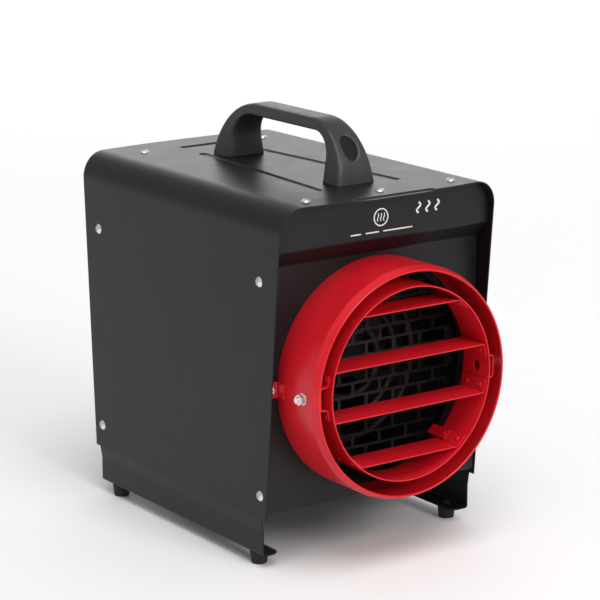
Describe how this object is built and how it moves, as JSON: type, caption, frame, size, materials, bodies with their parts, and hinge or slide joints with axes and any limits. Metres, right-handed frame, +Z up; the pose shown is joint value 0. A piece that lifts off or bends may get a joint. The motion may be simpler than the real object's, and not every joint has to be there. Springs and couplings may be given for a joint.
{
  "type": "portable electric fan heater",
  "caption": "Portable box fan heater in folded black sheet steel with a red round outlet collar, tilting louvre ring, carry handle and rear controls.",
  "frame": {"origin": "centre of the overall box in plan, on the plane under the rubber feet", "axes": "+Z up, outlet faces -Y, controls on +Y, +X to the right seen from the front"},
  "size_m": [0.2552, 0.3856, 0.406],
  "materials": {
    "black_powder_coat": "semi-gloss powder coat",
    "black_moulding": "satin moulded plastic",
    "black_plug": "matt",
    "black_rubber": "matt",
    "zinc_screws": "bright zinc plate",
    "red_enamel": "gloss enamel",
    "black_guard": "satin black",
    "galvanised_sheet": "galvanised",
    "duct_steel": "heat-resistant black",
    "black_screws": "black oxide",
    "heater_sheath": "heat-darkened stainless",
    "white_ceramic": "glazed ceramic",
    "tinned_terminal": "tinned",
    "fan_steel": "satin black",
    "shaft_steel": "ground",
    "motor_steel": "satin",
    "black_control": "matt",
    "knob_black": "satin",
    "button_red": "gloss",
    "lamp_amber": "clear",
    "black_gland": "matt",
    "cream_terminal": "matt"
  },
  "bodies": {
    "heater_body": {"outer_cover": "black_powder_coat", "front_panel": "black_powder_coat", "rear_panel": "black_powder_coat", "base_panel": "black_powder_coat", "handle": "black_moulding", "handle_plugs": "black_plug", "handle_screws": "zinc_screws", "rubber_feet": "black_rubber", "foot_screws": "black_screws", "cover_side_screws": "zinc_screws", "cover_top_screws": "zinc_screws", "base_screws": "zinc_screws", "outlet_collar": "red_enamel", "collar_brackets": "red_enamel", "collar_rivets": "red_enamel", "bracket_screws": "zinc_screws", "outlet_guard": "black_guard", "guard_spacers": "black_guard", "guard_screws": "zinc_screws", "rear_guard": "black_guard", "pivot_bolts": "zinc_screws", "pivot_washers": "zinc_screws", "pivot_nuts": "zinc_screws", "air_duct": "duct_steel", "duct_stands": "duct_steel", "rod_strip": "duct_steel", "ceramic_bushings": "white_ceramic", "rod_terminals": "tinned_terminal", "heating_rod_inner": "heater_sheath", "heating_rod_middle": "heater_sheath", "heating_rod_outer": "heater_sheath", "motor": "motor_steel", "motor_bracket": "galvanised_sheet", "motor_screws": "zinc_screws", "duct_screws": "zinc_screws", "thermostat": "black_control", "selector_switch": "black_control", "reset_cutout": "black_control", "indicator_lamp": "lamp_amber", "cable_gland": "black_gland", "gland_nut": "black_gland", "terminal_block": "cream_terminal", "thermal_cutout": "black_control"},
    "louvre": {"louvre_ring": "red_enamel", "louvre_rivets": "red_enamel", "tilt_stop": "red_enamel", "pivot_clips": "red_enamel", "louvre_blade_1": "red_enamel", "louvre_blade_2": "red_enamel", "louvre_blade_3": "red_enamel", "louvre_blade_4": "red_enamel"},
    "fan": {"fan_impeller": "fan_steel", "motor_shaft": "shaft_steel", "fan_nut": "zinc_screws"},
    "thermostat_dial": {"thermostat_knob": "knob_black"},
    "selector_dial": {"selector_knob": "knob_black"},
    "reset": {"reset_button": "button_red"}
  },
  "joints": [
    {"name": "louvre_tilt", "type": "hinge", "parent": "heater_body", "child": "louvre", "pos_m": [0, -0.173, 0.175], "axis": [1, 0, 0], "range_deg": [-18, 18]},
    {"name": "fan_spin", "type": "hinge", "parent": "heater_body", "child": "fan", "pos_m": [0, -0.00795, 0.175], "axis": [0, 1, 0], "continuous": true},
    {"name": "thermostat_turn", "type": "hinge", "parent": "heater_body", "child": "thermostat_dial", "pos_m": [0.052, 0.16415, 0.3145], "axis": [0, 1, 0], "range_deg": [0, 270]},
    {"name": "selector_turn", "type": "hinge", "parent": "heater_body", "child": "selector_dial", "pos_m": [-0.052, 0.16415, 0.3145], "axis": [0, 1, 0], "range_deg": [0, 135]},
    {"name": "reset_press", "type": "slide", "parent": "heater_body", "child": "reset", "axis": [0, -1, 0], "range_m": [0, 0.002], "stiffness_N_per_m": 400, "springref_m": -0.001}
  ]
}
